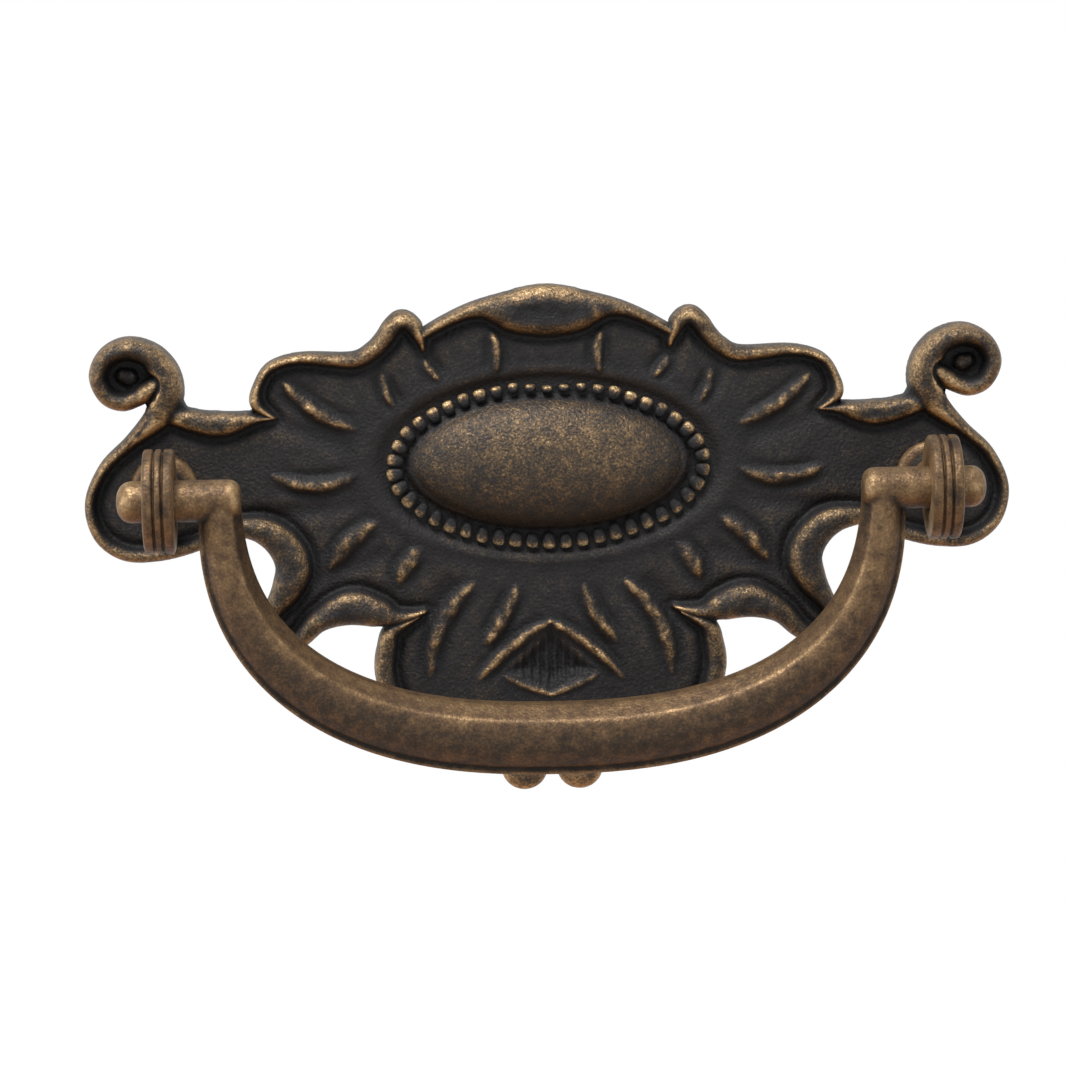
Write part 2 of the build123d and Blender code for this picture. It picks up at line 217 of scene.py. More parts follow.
LOBE = [
    (38.9, 9.0, 0.4, 2.5), (39.5, 7.0, 0.65, 3.2), (41.5, 4.6, 0.6, 3.2), (44.05, 2.1, 0.55, 3.2),
    (45.5, -1.3, 0.55, 3.2), (44.7, -4.6, 0.65, 3.2), (42.2, -6.45, 0.75, 3.2),
    (38.8, -6.55, 0.75, 3.2), (35.4, -5.75, 0.75, 3.2), (32.6, -4.6, 0.7, 3.2),
]
C_SCROLL = [
    (31.6, -3.9, 0.9, 3.2), (28.6, -4.3, 1.45, 3.7), (26.5, -5.8, 1.75, 3.7), (25.5, -8.0, 1.85, 3.7),
    (26.2, -10.3, 1.55, 3.7), (27.6, -12.4, 0.95, 3.2), (28.9, -14.4, 0.7, 3.2), (29.4, -16.4, 0.4, 3.2),
]
ARCH = [
    (29.3, -16.5, 0.4, 3.2), (27.2, -16.6, 0.7, 3.2), (25.0, -15.4, 0.95, 3.2), (23.0, -13.5, 1.25, 3.7),
    (20.0, -12.3, 1.85, 3.7), (17.3, -12.8, 1.6, 3.7), (15.2, -13.4, 0.9, 3.2), (12.4, -12.85, 0.2, 2.5),
]
FOOT = [
    (13.1, -13.4, 0.2, 2.5), (15.8, -14.8, 0.8, 3.2), (16.4, -16.6, 1.0, 3.2), (16.6, -19.0, 1.05, 3.2),
    (15.7, -21.9, 1.0, 3.2), (13.2, -24.3, 0.9, 3.2), (9.4, -26.0, 0.85, 3.2), (5.2, -27.2, 0.85, 3.2),
    (0, -27.4, 0.85, 3.2),
]
# A ball is a roll so short that only its round ends show
VOLUTE_EYE = [(41.35, 11.1, 0.9, 2.35), (41.9, 11.3, 0.75, 2.35)]
FOOT_BALL = [(2.75, -28.9, 2.3, 3.2), (2.8, -28.9, 2.3, 3.2)]


# %% Smooth lines through the stations
def smooth_path(stations, steps=8):
    """A smooth curve through the stations, with every column eased along with the place."""
    rows = np.array(stations, float)
    ends = np.vstack([2 * rows[0] - rows[1], rows, 2 * rows[-1] - rows[-2]])
    t = np.linspace(0, 1, steps, endpoint=False)[:, None]
    spans = []
    for a, b, c, d in zip(ends, ends[1:], ends[2:], ends[3:]):
        bend = (c - a) * t + (2 * a - 5 * b + 4 * c - d) * t**2 + (3 * b - a - 3 * c + d) * t**3
        spans.append(b + 0.5 * bend)
    return np.vstack(spans + [rows[-1:]])


def both_sides(path):
    """A path and its mirror image across the middle of the plate."""
    return [path, path * np.array([-1] + [1] * (path.shape[1] - 1))]


def across_middle(stations):
    """The stations of a roll that ends on the middle of the plate, carried on to the other side."""
    return stations + [(-column, *rest) for column, *rest in stations[-2::-1]]


# A furrow hollows the middle of a roll, this deep where the roll is 2 mm wide and deeper the
# wider it is, so that the roll wears on two edges
MIDDLE_FURROWS = [(CREST[::-1], 0.065), (FOOT, 0)]
SIDE_FURROWS = [
    (SHOULDER, 0.06), (SWAG, 0.12), (VOLUTE, 0.04), (LOBE, 0), (C_SCROLL, 0.035), (ARCH, 0.035),
    (VOLUTE_EYE, 0), (FOOT_BALL, 0),
]
rolls = [(smooth_path(across_middle(stations)), depth) for stations, depth in MIDDLE_FURROWS]
rolls += [(path, depth) for stations, depth in SIDE_FURROWS for path in both_sides(smooth_path(stations))]
print("rolls", len(rolls))

# %% [markdown]
# ## The height of the casting
# The front of a casting is a relief: over every point of the drawing it has one height. So the
# whole front can be worked out as a height map, the way a carver thinks of it. Low, slightly
# puffed leaves lie between the rolls, with a dark trough along each roll's foot, a raised vein
# on each leaf, a long dome in a sunken ring, and a hatched kite at the foot. Each of these is
# one small function. Sculpting by hand would look as good, but it couldn't be run again.

# %% Distances on the drawing
def near(path, spots):
    """For each spot: the nearest place on the path, its distance, and the path's other columns."""
    start, step = path[:-1, :2], np.diff(path[:, :2], axis=0)
    reach = spots[:, None] - start
    share = np.clip((reach * step).sum(2) / (step**2).sum(1), 0, 1)
    miss = reach - share[..., None] * step
    best = np.hypot(miss[..., 0], miss[..., 1]).argmin(1)
    pick = np.arange(len(spots)), best
    share = share[pick][:, None]
    found = path[best] * (1 - share) + path[best + 1] * share
    away = spots - found[:, :2]
    return found[:, :2], np.hypot(away[:, 0], away[:, 1]), found[:, 2:]


def around(path, spots, margin):
    """Which spots lie within a margin of the path's own box."""
    low, high = path[:, :2].min(0) - margin, path[:, :2].max(0) + margin
    return np.flatnonzero(((spots > low) & (spots < high)).all(1))


def ripple(spots, size_mm, seed):
    """Soft noise from -1 to 1 with bumps of about this size."""
    return np.array([noise.noise(Vector((x / size_mm, z / size_mm, seed))) for x, z in spots])


def bent(start, end, bulge, steps=12):
    """A slightly curved line with a third column that swells from 0 at its ends to 1 between."""
    start, end = np.array(start, float), np.array(end, float)
    along = end - start
    aside = np.array([-along[1], along[0]]) / np.hypot(*along)
    share = np.linspace(0, 1, steps)[:, None]
    line = start + along * share + aside * 4 * bulge * share * (1 - share)
    return np.hstack([line, np.sin(np.pi * share) ** 0.6])


# %% The leaves and the valleys between them, in millimetres
FIELD_MM, SHOULDER_MM, FLOOR_MM = 2.0, 1.75, 1.45
VALLEY_DEPTH_MM, VALLEY_WIDTH_MM = 0.28, 1.0
VALLEYS = [
    ((12.6, 13.4), (9.8, 10.6)), ((26.6, 6.4), (19.0, 3.6)), ((30.0, -3.4), (18.6, -1.6)),
    ((24.0, -10.0), (15.6, -6.4)), ((12.4, -12.6), (9.4, -9.4)), ((17.6, 11.6), (14.0, 7.4)),
]


def leaves(spots):
    """The field between the rolls, a little uneven, and lower between each two leaves."""
    height = FIELD_MM + 0.07 * ripple(spots, 5.0, 1.3) + 0.04 * ripple(spots, 1.6, 7.1)
    for start, end in VALLEYS:
        for line in both_sides(bent(start, end, 0)):
            at = around(line, spots, 3)
            _, gap, rest = near(line, spots[at])
            height[at] -= VALLEY_DEPTH_MM * rest[:, 0] * np.exp(-(gap / VALLEY_WIDTH_MM) ** 2)
    return height


# %% The rolls
TROUGH_DEPTH_MM, TROUGH_WIDTH_MM = 0.42, 0.75
DENT_MM, DENT_SIZE_MM, CHIP_SIZE_MM = 0.09, 1.1, 0.9
FAR_MM = 9.0


def rim(spots):
    """The rolls' height, 0 beside them, and how deep the trough along their feet is."""
    crown = np.zeros(len(spots))
    away = np.full(len(spots), FAR_MM)
    for path, furrow in rolls:
        at = around(path, spots, 4)
        _, gap, rest = near(path, spots[at])
        half, crest = rest[:, 0], rest[:, 1]
        away[at] = np.minimum(away[at], gap - half)
        round_top = np.sqrt(np.clip(1 - (gap / half) ** 2, 0, 1))
        hollow = furrow * half**2 * np.exp(-((gap / (0.45 * half)) ** 2))
        dents = DENT_MM * ripple(spots[at], DENT_SIZE_MM, 2.9)
        dents += 6 * furrow * hollow * ripple(spots[at], CHIP_SIZE_MM, 4.4)
        top = SHOULDER_MM + (crest - SHOULDER_MM + dents) * round_top - hollow
        crown[at] = np.maximum(crown[at], top * (gap < half))
    return crown, TROUGH_DEPTH_MM * np.exp(-(np.maximum(away, 0) / TROUGH_WIDTH_MM) ** 2)


# %% The veins
VEIN_WIDTH_MM, VEIN_RISE_MM = 0.75, 0.5
GROOVE_DEPTH_MM, GROOVE_WIDTH_MM = 0.16, 0.4
THIN_VEIN = 0.6
# Start, end and bulge of each vein in millimetres, and its stoutness
VEINS = [
    ((26.0, 10.2), (19.2, 5.6), 0.6, 1.2), ((27.3, 1.0), (19.2, 1.0), 1.0, 1.2),
    ((17.2, -3.9), (21.8, -8.2), 0.5, 1.4), ((12.9, -6.6), (15.1, -10.0), 0.3, 1.4),
    ((7.6, -10.2), (12.1, -19.4), 1.2, 1.3), ((3.4, -10.6), (6.6, -16.2), -0.4, 1.2),
    ((15.0, 7.6), (16.3, 11.0), -0.3, 0.9), ((10.6, 10.4), (12.0, 12.4), -0.2, 0.9),
    ((5.2, 11.0), (5.4, 14.9), 0.3, 1.0),
]
KITE_EDGES = [((0, -14.1), (7.2, -19.9), 0.5, 1.0), ((4.7, -19.6), (-0.4, -21.6), 0.2, 0.55)]


def add_veins(height, spots):
    """Raises every vein, and cuts a shallow groove along the foot of all but the thinnest."""
    for start, end, bulge, size in VEINS + KITE_EDGES:
        for line in both_sides(bent(start, end, bulge)):
            at = around(line, spots, 2.5)
            wobble = 0.22 * ripple(spots[at], 1.1, 5.7)
            rough = 0.1 * ripple(spots[at], 0.5, 9.2)
            _, gap, rest = near(line, spots[at])
            swell = 0.35 + 0.65 * rest[:, 0]
            wide = VEIN_WIDTH_MM * size * swell * (1 + wobble)
            rise = VEIN_RISE_MM * swell * (1 + 2 * wobble + rough) * min(size, 1)
            height[at] += rise * np.clip(1 - (gap / wide) ** 2, 0, 1)
            foot = (gap - 1.2 * VEIN_WIDTH_MM * size) / GROOVE_WIDTH_MM
            height[at] -= GROOVE_DEPTH_MM * rest[:, 0] * np.exp(-(foot**2)) * (size > THIN_VEIN)


# %% The kite
MEDALLION_ROW_MM = 1.75
KITE_DROP_MM, KITE_HALF_MM, KITE_TOP_MM, KITE_POINT_MM = 20.9, 4.7, 4.6, 2.2
HATCH_PITCH_MM = 0.85


def kite_share(across, up):
    """0 in the middle of the kite and 1 on its edge, with up counted from the medallion."""
    tall = np.where(up > -KITE_DROP_MM, KITE_TOP_MM, KITE_POINT_MM)
    return np.abs(across) / KITE_HALF_MM + np.abs(up + KITE_DROP_MM) / tall


def kite_depth(spots):
    """How deep the kite is sunk: steep above, shallow below, with hatching cut upright in it."""
    across, up = spots[:, 0], spots[:, 1] - MEDALLION_ROW_MM
    cuts = np.abs(np.sin((across + 0.12 * ripple(spots, 0.8, 3.3)) * np.pi / HATCH_PITCH_MM))
    steepness = np.where(up > -KITE_DROP_MM, 3, 1.2)
    return np.clip(steepness * (1 - kite_share(across, up)), 0, 1) * (0.95 - 0.45 * cuts)


# %% The medallion: a dome in a thin round collar, standing in a sunken ring
DOME_ROW_MM, DOME_MM = 1.9, (13.5, 6.35)
COLLAR_AT, COLLAR_HALF, COLLAR_RISE_MM = 0.99, 0.055, 0.6
CHANNEL_MM = (17.0, 8.95)
LIP_AT_MM, LIP_HALF_MM, LIP_RISE_MM = 1.1, 0.5, 0.08
dome_crest_mm = -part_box("backplate")[0].y / MM


def channel_share(across, up):
    """1 on the outer edge of the sunken ring that holds the beads, and more beyond it."""
    return np.hypot(across / CHANNEL_MM[0], up / CHANNEL_MM[1])


def dome_share(spots):
    """How far each spot lies from the dome's middle, where 1 is the dome's foot."""
    return np.hypot(spots[:, 0] / DOME_MM[0], (spots[:, 1] - DOME_ROW_MM) / DOME_MM[1])


def sink_channel(height, spots):
    """Lowers everything inside the channel to its floor, and raises a faint lip outside it."""
    # The channel's edge is about 12 mm from its middle, so this is roughly in millimetres
    outside = (channel_share(spots[:, 0], spots[:, 1] - MEDALLION_ROW_MM) - 1) * 12
    height = height + LIP_RISE_MM * np.exp(-(((outside - LIP_AT_MM) / LIP_HALF_MM) ** 2))
    return FLOOR_MM + (height - FLOOR_MM) / (1 + np.exp(-outside * 5))


def relief(spots):
    """The height of the casting's front over each spot of the drawing."""
    crown, trough = rim(spots)
    height = leaves(spots) - trough
    add_veins(height, spots)
    height = sink_channel(height - kite_depth(spots), spots)
    height = np.maximum(height, crown)
    dome = dome_share(spots)
    swell = FLOOR_MM + (dome_crest_mm - FLOOR_MM) * np.sqrt(np.clip(1 - dome**2, 0, 1))
    round_collar = np.sqrt(np.clip(1 - ((dome - COLLAR_AT) / COLLAR_HALF) ** 2, 0, 1))
    medallion = np.maximum(swell, FLOOR_MM + COLLAR_RISE_MM * round_collar)
    return np.where(dome < COLLAR_AT + COLLAR_HALF, np.maximum(height, medallion), height)


# %% [markdown]
# ## The backplate
# The real plate is one casting, smooth from the sand of the mould and from years of polish. The
# CAD solid has the right outline but flat facets. Its triangles are copied and welded, a small
# round plug fills each tight corner between two rolls, and a voxel remesh turns the whole into
# an even skin of small squares, like clay. Then every point of the front is lifted to the height
# map, and every point of the side walls is pushed on to the smooth curve of its roll. The flat
# back stays flat.

# %% Copy the CAD solid as even clay
PLATE_VOXEL_MM = 0.18
PLUG_LENGTH_MM = 2.8
# Column, row and radius of each plug
PLUGS_MM = [(14.35, 16.3, 0.95), (39.6, 9.95, 0.95)]

bm = bmesh.new()
bm.from_mesh(frame["nodes"]["backplate"].data)
bmesh.ops.remove_doubles(bm, verts=bm.verts, dist=0.001 * MM)
facing_front = Matrix.Rotation(math.pi / 2, 4, "X")
for column, row, radius in PLUGS_MM:
    for side in (-1, 1):
        seat = Matrix.Translation(Vector((side * column, -PLUG_LENGTH_MM / 2, row)) * MM)
        bmesh.ops.create_cone(
            bm, cap_ends=True, segments=32, radius1=radius * MM, radius2=radius * MM,
            depth=PLUG_LENGTH_MM * MM, matrix=seat @ facing_front,
        )
plate = as_object("backplate_casting", bm)
settle(plate, "REMESH", mode="VOXEL", voxel_size=PLATE_VOXEL_MM * MM)
print("plate skin has", len(plate.data.vertices), "points")

# %% Find where the side walls belong
BACK_MM = 0.12
WALL_TOP_MM = SHOULDER_MM + 0.05
WALL_REACH_MM = 0.6

spots = places(plate)
wall = np.flatnonzero((-spots[:, 1] < WALL_TOP_MM) & (-spots[:, 1] > BACK_MM))
flat = spots[wall][:, [0, 2]]
best_miss = np.full(len(wall), WALL_REACH_MM)
target = flat.copy()
for path, _ in rolls:
    at = around(path, flat, 3)
    on_line, gap, rest = near(path, flat[at])
    miss = np.abs(gap - rest[:, 0])
    better = miss < best_miss[at]
    chosen = at[better]
    best_miss[chosen] = miss[better]
    way = (flat[chosen] - on_line[better]) / np.maximum(gap[better], 0.01)[:, None]
    target[chosen] = on_line[better] + way * rest[better][:, :1]
print("wall points", len(wall))

# %% Move the walls there, with what lies near them
PULL_MM, PULL_END_MM = 0.8, 2

walls = kdtree.KDTree(len(wall))
for number, (x, z) in enumerate(flat):
    walls.insert((x, z, 0), number)
walls.balance()
shift = np.zeros((len(spots), 2))
for number, (x, _, z) in enumerate(spots):
    _, nearest, gap = walls.find((x, z, 0))
    if gap < PULL_END_MM:
        shift[number] = (target[nearest] - flat[nearest]) * math.exp(-((gap / PULL_MM) ** 2))
spots[:, 0] += shift[:, 0]
spots[:, 2] += shift[:, 1]
print("moved by up to", round(float(np.abs(shift).max()), 3), "mm")

# %% Lift the front to the height map
# The floor of the CAD's channel lies lower than the walls' top and belongs to the front as well.
# These limits leave that channel 0.3 mm to spare
CHANNEL_LIMIT_MM, CHANNEL_LOW_MM = (17.6, 10.35), 1.2

across, up = spots[:, 0], spots[:, 2] - MEDALLION_ROW_MM
in_channel = np.hypot(across / CHANNEL_LIMIT_MM[0], up / CHANNEL_LIMIT_MM[1]) < 1
in_channel &= -spots[:, 1] > CHANNEL_LOW_MM
front = np.flatnonzero((-spots[:, 1] > WALL_TOP_MM) | in_channel)
spots[front, 1] = -relief(spots[front][:, [0, 2]])
print("front points", len(front))

# %% Soften, and keep inside the CAD box
softened = even_out(plate, spots, 2)
back = spots[:, 1] > -BACK_MM
softened[back, 1] = spots[back, 1]
low, high = (np.array(corner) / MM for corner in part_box("backplate"))
put(plate, np.clip(softened, low, high))
print("back points", np.count_nonzero(back))

# %% Read the plate's wear, and darken what no cloth reaches
PLATE_SCALES_MM, PLATE_LEVEL = ((0.35, 0.22), (0.9, 0.5)), 0.44
RUBBED_FROM_MM = 2.4
# Middle and half size in millimetres, how much darker, and how sharply it ends: the hollow of
# the crest, the volute's hollow, the shoulder's knob, and the volute's inner end
DARK_SPOTS = [
    ((0, 16.9), (4.2, 1.2), 0.3, 2), ((41.6, 11.3), (1.4, 1.4), 0.22, 2),
    ((14.4, 16.2), (1.58, 1.58), 0.15, 1), ((39.8, 10.2), (1.0, 1.0), 0.3, 1),
]

wear = read_wear(plate, PLATE_VOXEL_MM, PLATE_SCALES_MM, PLATE_LEVEL)
spots = places(plate)
across, up = spots[:, 0], spots[:, 2] - MEDALLION_ROW_MM
# The cloth rubs more the higher a point stands, and most near the top of the plate
reach = 0.05 + 0.03 * np.clip(spots[:, 2] / 8, -1, 1)
wear += reach * np.clip(-spots[:, 1] - RUBBED_FROM_MM, -0.5, 1)
# A dark band lies round the channel, and the kite is dark inside its edge
wear -= 0.16 * np.exp(-(((channel_share(across, up) - 1.1) / 0.12) ** 2))
wear -= 0.3 * (kite_share(across, up) < 0.85)
for (column, row), (wide, tall), darker, sharpness in DARK_SPOTS:
    apart = ((np.abs(across) - column) / wide) ** 2 + ((spots[:, 2] - row) / tall) ** 2
    wear -= darker * np.exp(-(apart**sharpness))

# %% Polish the dome, with painted light on its top, and thin the plate's mesh
PLATE_TRIANGLES = 190000
DOME_POLISH, COLLAR_POLISH, BACK_POLISH = 0.64, 0.42, 0.4
COLLAR_FOOT = 1.05

dome = dome_share(spots[:, [0, 2]])
on_dome = (dome < COLLAR_AT) & (-spots[:, 1] > FLOOR_MM + 0.1)
# Painted light: the dome is a little lighter towards its top and darker towards its bottom; it is also
# darker towards its foot all round
polish = DOME_POLISH + 0.07 * (spots[:, 2] - DOME_ROW_MM) / DOME_MM[1] - 0.1 * dome**4
wear = np.where(on_dome, polish, wear)
wear = np.where((dome >= COLLAR_AT) & (dome < COLLAR_FOOT), COLLAR_POLISH, wear)
wear[back] = BACK_POLISH
store(plate, "wear", wear)
settle(plate, "DECIMATE", ratio=min(1, PLATE_TRIANGLES / (2 * len(plate.data.polygons))))
for face in plate.data.polygons:
    face.use_smooth = face.normal.y < 0.99
finish_piece(plate, "plate", "plate_brass", "backplate")
print("attributes kept", [layer.name for layer in plate.data.attributes])

# %% [markdown]
# ## The ring of beads
# Forty-six long beads stand round the dome, each pointing at its middle. On the real plate they
# are cut in the pattern by hand, so no two are quite alike, and at the top they shrink to round
# dots. A small sphere is made for each one and stretched, turned and set in the sunken ring. An
# array modifier would make them all the same. Their outer ends, which the polishing cloth
# reaches, are bright, and the ends towards the dome stay dark.

# %% Beads
BEAD_COUNT, BEAD_MM = 46, (1.7, 1.3, 1.15)
BEAD_SEAT_MM = FLOOR_MM + 0.38
OUTER_ENDS_MM, OUTER_ENDS_ROW_MM = (16.15, 8.45), 1.65
SQUARED_OFF = 0.72
random.seed(7)


def ellipse_places(half_across, half_up, count):
    """Places evenly spaced along an ellipse, with the direction that points out of it."""
    fine = np.linspace(0, 2 * np.pi, 2001)
    curve = np.stack([half_across * np.cos(fine), half_up * np.sin(fine)], 1)
    run = np.concatenate([[0], np.cumsum(np.hypot(*np.diff(curve, axis=0).T))])
    angles = np.interp((np.arange(count) + 0.5) / count * run[-1], run, fine)
    for angle in angles:
        out = Vector((math.cos(angle) / half_across, math.sin(angle) / half_up)).normalized()
        yield half_across * math.cos(angle), half_up * math.sin(angle), out


bm = bmesh.new()
bead_wear = bm.verts.layers.float.new("wear")
for x, z, out in ellipse_places(*OUTER_ENDS_MM, BEAD_COUNT):
    made = bmesh.ops.create_uvsphere(bm, u_segments=12, v_segments=8, radius=0.5)["verts"]
    size = [length * random.uniform(0.88, 1.08) for length in BEAD_MM]
    at_top = max(0, out.y) ** 2
    size[0] *= 1 - 0.5 * at_top * math.exp(-((x / 7.5) ** 2))
    size[1] *= 1 - 0.2 * at_top * math.exp(-((x / 5) ** 2))
    inset = size[0] / 2 + random.uniform(-0.08, 0.08) + 0.5 * at_top * math.exp(-((x / 2.8) ** 2))
    x, z = x - out.x * inset, z - out.y * inset
    polish = random.uniform(0.24, 0.42)
    for vert in made:
        length, side, rise = (math.copysign(abs(2 * part) ** SQUARED_OFF, part) / 2 for part in vert.co)
        bright = polish + 1.15 * length + 0.45 * rise + random.uniform(-0.12, 0.12)
        vert[bead_wear] = min(1, max(0, bright))
        flare = 1 + 0.25 * length
        local = Vector((length * size[0], side * size[1] * flare, rise * size[2]))
        vert.co = Vector((
            x + local.x * out.x - local.y * out.y,
            -BEAD_SEAT_MM - local.z,
            z + OUTER_ENDS_ROW_MM + local.x * out.y + local.y * out.x,
        )) * MM
beads = as_object("bead_ring", bm)
finish_piece(beads, "plate", "plate_brass")

# %% [markdown]
# ## The eye posts
# Each post is turned: a collar that seats on the plate, a neck, and a ring with three rounded
# ridges that carries the bail's pin. A turned form is made by spinning half its outline round
# its axis. The collar and neck spin round the post, and the ring spins round the pin. Dark wax
# stays on the ridges in smears, so the wear is lowered there in soft patches.

# %% Spinning an outline
RING_HEIGHT_MM, RING_RADIUS_MM, RING_WIDTH_MM, BORE_MM = 12.0, 5.1, 3.0, 2.3
POST_MM = 38.1


def spun(bm, outline, middle, axis, start, steps):
    """Spins an outline of (along the axis, away from it) round an axis through a point, in mm."""
    axis, start, middle = Vector(axis), Vector(start), Vector(middle)
    verts = [bm.verts.new((middle + axis * along + start * away) * MM) for along, away in outline]
    edges = [bm.edges.new(pair) for pair in zip(verts, verts[1:])]
    bmesh.ops.spin(
        bm, geom=verts + edges, cent=middle * MM, axis=axis, angle=2 * math.pi, steps=steps,
        use_merge=True,
    )
    bmesh.ops.remove_doubles(bm, verts=bm.verts, dist=0.002 * MM)


# %% Outline of the ring
GROOVE_MM, GROOVE_HALF_MM, GROOVE_PLACES_MM = 0.4, 0.13, (-0.42, 0.42)
EDGE_ROUND_MM, BORE_BEVEL_MM = 0.42, 0.3


def ring_outline():
    """Half the section of the ring: bore, two faces, and a rim of three ridges."""
    half = RING_WIDTH_MM / 2
    rim_line = []
    for place in np.linspace(-half, half, 61):
        cut = sum(GROOVE_MM * math.exp(-(((place - at) / GROOVE_HALF_MM) ** 2)) for at in GROOVE_PLACES_MM)
        side = max(0, abs(place) - (half - EDGE_ROUND_MM)) / EDGE_ROUND_MM
        fall = EDGE_ROUND_MM * (1 - math.sqrt(max(0, 1 - side**2)))
        rim_line.append((place, RING_RADIUS_MM - cut - fall))
    mouth, inner = BORE_MM + BORE_BEVEL_MM, half - BORE_BEVEL_MM
    bore = [(half, mouth), (inner, BORE_MM), (-inner, BORE_MM), (-half, mouth)]
    return bore + rim_line + bore[:1]


# %% Outline of the post
POST_OUTLINE_MM = [
    (-0.2, 1.725), (-0.2, 2.45), (-0.35, 2.6), (-1.98, 2.6), (-1.98, 3.15), (-2.1, 3.33), (-2.5, 3.33),
    (-2.75, 3.2), (-2.95, 2.9), (-3.08, 2.4), (-3.12, 2.1), (-3.35, 1.86), (-3.8, 1.8), (-8.2, 1.8),
    (-8.2, 0),
]
HOLE_DEPTH_MM, HOLE_END_MM = 5.0, 1.55
THREAD_PITCH_MM, THREAD_ROOT_MM, THREAD_CREST_MM = 0.8, 1.725, 1.5


def post_outline():
    """Half the outline of the post, with the ridges of its screw thread inside the shank."""
    thread = [(-HOLE_DEPTH_MM, 0), (-HOLE_DEPTH_MM, HOLE_END_MM)]
    for turn in range(int(HOLE_DEPTH_MM / THREAD_PITCH_MM)):
        start = -HOLE_DEPTH_MM + (turn + 0.2) * THREAD_PITCH_MM
        thread += [(start, THREAD_ROOT_MM), (start + THREAD_PITCH_MM / 2, THREAD_CREST_MM)]
    return thread + POST_OUTLINE_MM


# %% Build both posts
POST_PITCH_MM, POST_SCALES_MM, POST_LEVEL = 0.3, ((0.4, 0.3),), 0.55
COLLAR_END_MM, RING_FRONT_MM = 4, 13

for name, side in (("left_eye_post", -1), ("right_eye_post", 1)):
    bm = bmesh.new()
    seat = (side * POST_MM, 0, 0)
    eye = (side * POST_MM, -RING_HEIGHT_MM, 0)
    spun(bm, ring_outline(), eye, (1, 0, 0), (0, 0, 1), 72)
    spun(bm, post_outline(), seat, (0, 1, 0), (0, 0, 1), 56)
    post = as_object(name + "_turned", bm)
    wear = read_wear(post, POST_PITCH_MM, POST_SCALES_MM, POST_LEVEL)
    spots = places(post)
    wear -= 0.06 * (spots[:, 1] > -COLLAR_END_MM)
    smear = np.cos(1.3 * spots[:, 2] + 0.4) * (0.5 + 0.5 * np.cos(2.6 * (spots[:, 0] - eye[0]) - 1.6))
    wear -= 0.32 * np.clip(smear, 0, 1) ** 1.5 * (spots[:, 1] < -RING_FRONT_MM)
    store(post, "wear", np.clip(wear, 0, 1))
    finish_piece(post, "plate", "fitting_brass", name)

# %% [markdown]
# ## The bail
# The bail is the part that the hand takes: a bar that hangs from two round pins, thin at the
# legs and broad at the grip, with a bevel on its inner side and a fine groove and lip along its
# outer edge. A circle of points is shaped to the bar's section at each station down the curve,
# and neighbouring circles are bridged. The pins are spun. A voxel remesh then joins bar and
# pins in one skin, with the small soft corners that a casting has.

# %% The bar's middle line and section
DROP_MM, LEG_MM, GRIP_MM, GRIP_DEPTH_MM, PIN_MM = 24.1, 4.2, 7.1, 4.7, 2.05
SIDE_PLAY_MM = 2.2
SPAN_MM = POST_MM - RING_WIDTH_MM / 2 - SIDE_PLAY_MM - LEG_MM / 2
SQUARENESS = 2.45
# Shares of the half width and half depth, from the outer back edge round to the inner back edge
SECTION = [
    (0.80, -1.0), (0.97, -0.75), (1.0, 0.1), (0.97, 0.34), (0.87, 0.38), (0.85, 0.24), (0.79, 0.28),
    (0.72, 0.5), (0.45, 0.86), (0.1, 1.0), (-0.3, 0.97), (-0.57, 0.84), (-0.63, 0.74), (-1.0, -0.1),
    (-0.97, -0.75), (-0.76, -1.0),
]


def rounded(corners):
    """A closed outline with every corner cut twice, so that it runs round softly."""
    ring = np.array(corners, float)
    for _ in range(2):
        after = np.roll(ring, -1, axis=0)
        ring = np.stack([0.78 * ring + 0.22 * after, 0.22 * ring + 0.78 * after], 1).reshape(-1, 2)
    return ring


def squared(value):
    """A sine or cosine pushed outwards, which squares off the ellipse that it draws."""
    return math.copysign(abs(value) ** (2 / SQUARENESS), value)


def station(angle):
    """The bar's middle, the direction out of its curve, and half its width, in millimetres."""
    def track(turn):
        return Vector((squared(math.cos(turn)) * SPAN_MM, 0, -squared(math.sin(turn)) * DROP_MM))

    along = (track(angle + 0.001) - track(angle - 0.001)).normalized()
    half_width = (LEG_MM + (GRIP_MM - LEG_MM) * math.sin(angle)) / 2
    middle = track(angle) + Vector((0, -RING_HEIGHT_MM, 0))
    return middle, Vector((-along.z, 0, along.x)), half_width


# %% Sweep the bar
SECTIONS = 121


def loop_of(verts):
    """The edges that join these vertices to one another."""
    return [edge for vert in verts for edge in vert.link_edges if edge.other_vert(vert) in verts]


section = rounded(SECTION)
bm = bmesh.new()
rings = []
for angle in np.linspace(0, math.pi, SECTIONS):
    middle, outward, half_width = station(angle)
    half_depth = PIN_MM + (GRIP_DEPTH_MM / 2 - PIN_MM) * math.sin(angle)
    rings.append(bmesh.ops.create_circle(bm, segments=len(section), radius=1)["verts"])
    for vert, (wide, deep) in zip(rings[-1], section):
        vert.co = (middle + outward * wide * half_width + Vector((0, -deep * half_depth, 0))) * MM
for one, two in zip(rings, rings[1:]):
    bmesh.ops.bridge_loops(bm, edges=list(dict.fromkeys(loop_of(one) + loop_of(two))))
for end in (rings[0], rings[-1]):
    bmesh.ops.contextual_create(bm, geom=end)
print("bar has", len(bm.faces), "faces")

# %% Add the pins
PIN_PAST_RING_MM, TIP_ROUND_MM, ROOT_ROUND_MM = 2.7, 1.5, 1.15


